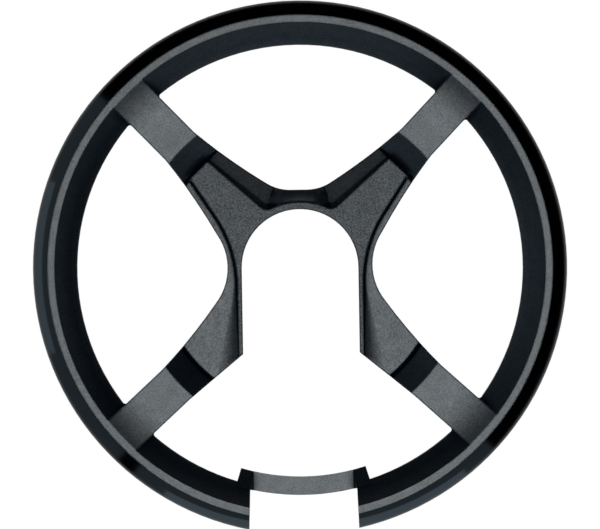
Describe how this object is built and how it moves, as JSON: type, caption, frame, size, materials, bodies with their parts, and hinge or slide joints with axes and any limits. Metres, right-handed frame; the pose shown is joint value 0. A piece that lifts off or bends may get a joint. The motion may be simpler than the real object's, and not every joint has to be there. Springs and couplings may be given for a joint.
{
  "type": "bicycle chain guard",
  "caption": "Round one-piece plastic chain guard ring with dished arms and a U-shaped hub that fits round a bicycle crank, screwed to the chainring from behind.",
  "frame": {"origin": "centre of the ring, on the plane of the chainring's outer face that the bosses stand on", "axes": "+Z along the crank's axis, away from the bicycle; +Y away from the mouth of the crank slot"},
  "size_m": [0.2, 0.1979, 0.0145],
  "materials": {
    "black_plastic": "moulded black, fine spark texture on the front faces, glossy outer flank"
  },
  "bodies": {
    "root": {"chain_guard": "black_plastic"}
  },
  "joints": []
}
